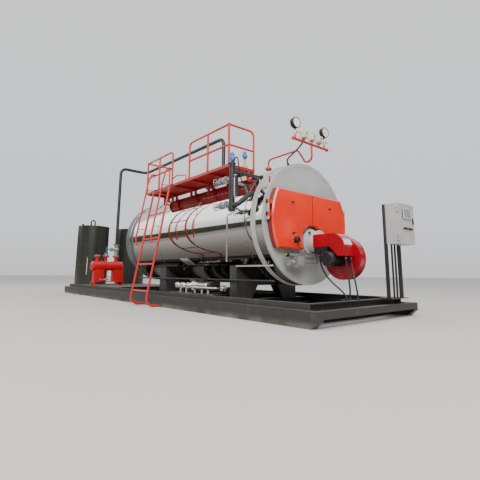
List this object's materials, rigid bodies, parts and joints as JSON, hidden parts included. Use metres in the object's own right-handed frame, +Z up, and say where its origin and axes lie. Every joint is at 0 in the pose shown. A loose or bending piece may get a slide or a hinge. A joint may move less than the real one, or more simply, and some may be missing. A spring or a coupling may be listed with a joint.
{
  "type": "skid mounted steam boiler",
  "caption": "Horizontal fire tube steam boiler on a steel skid, with burner, front doors, walkway and ladder, water column, steam header, tanks and a control cabinet.",
  "frame": {"origin": "on the ground, midway along and across the skid", "axes": "+X along the skid to the burner end, +Y away from the ladder side, +Z up"},
  "size_m": [9.9755, 2.6948, 3.757],
  "materials": {
    "skid_paint": "matte",
    "frame_paint": "matte",
    "floor_paint": "matte",
    "cladding": "polished",
    "head_paint": "satin",
    "rim_paint": "satin",
    "hinge_steel": "satin",
    "door_paint": "gloss",
    "black_plastic": "matte",
    "cast_grey": "matte",
    "burner_paint": "gloss",
    "valve_grey": "satin",
    "red_paint": "satin",
    "brass": "satin",
    "gauge_black": "gloss",
    "switch_beige": "matte",
    "probe_yellow": "satin",
    "walkway_red": "matte",
    "rail_red": "satin",
    "pipe_dark": "matte",
    "blue_paint": "satin",
    "gauge_body": "satin",
    "pipe_light": "satin",
    "tank_paint": "matte",
    "cabinet_paint": "satin",
    "cabinet_dark": "matte",
    "cable_black": "matte",
    "cable_grey": "matte"
  },
  "bodies": {
    "boiler_skid": {"skid_beams": "skid_paint", "cross_beams": "skid_paint", "base_frame": "frame_paint", "floor_plate": "floor_paint", "saddles": "frame_paint", "shell_cladding": "cladding", "rear_head": "head_paint", "shell_band": "rim_paint", "front_rim": "rim_paint", "front_plate": "rim_paint", "door_hinges": "hinge_steel", "burner_neck": "cast_grey", "burner_duct": "burner_paint", "burner_fan_scroll": "burner_paint", "burner_motor": "gauge_black", "gas_train": "valve_grey", "steam_siphon": "red_paint", "gauge_header": "red_paint", "gauge_cocks": "brass", "pressure_gauges": "gauge_black", "pressure_switches": "switch_beige", "level_probe": "probe_yellow", "walkway_deck": "walkway_red", "walkway_brackets": "walkway_red", "guard_rails": "rail_red", "ladder": "rail_red", "ladder_handrails": "rail_red", "water_column": "pipe_dark", "level_transmitter": "blue_paint", "column_pipes": "pipe_dark", "column_valves": "valve_grey", "level_gauge": "gauge_body", "drain_pipe": "pipe_light", "blowdown_pipe": "pipe_dark", "steam_outlet_valve": "pipe_dark", "main_steam_pipe": "pipe_dark", "steam_header": "red_paint", "header_stand": "red_paint", "header_valves": "valve_grey", "valve_handwheels": "blue_paint", "feed_tank": "tank_paint", "water_tank": "tank_paint", "tank_lids": "tank_paint", "feed_pumps": "pipe_light", "cabinet_posts": "cabinet_dark", "cord_fittings": "cable_black", "cabinet_body": "cabinet_paint", "burner_cable_1": "cable_black", "burner_cable_2": "cable_black", "burner_cable_3": "cable_black", "transmitter_cable": "cable_black", "gauge_cable": "cable_grey"},
    "left_door": {"door_left": "door_paint", "door_fittings_left": "black_plastic"},
    "right_door": {"door_right": "door_paint", "door_fittings_right": "black_plastic"},
    "panel_door": {"cabinet_door": "cabinet_paint", "operator_panel": "gauge_black"}
  },
  "joints": [
    {"name": "left_door_hinge", "type": "hinge", "parent": "boiler_skid", "child": "left_door", "pos_m": [3.88, -0.918, 1.402], "axis": [0, 0, -1], "range_deg": [0, 110]},
    {"name": "right_door_hinge", "type": "hinge", "parent": "boiler_skid", "child": "right_door", "pos_m": [3.88, 0.918, 1.402], "axis": [0, 0, 1], "range_deg": [0, 110]},
    {"name": "cabinet_door_hinge", "type": "hinge", "parent": "boiler_skid", "child": "panel_door", "pos_m": [5.0295, 0.546, 1.34], "axis": [0, 0, -1], "range_deg": [0, 110]}
  ]
}
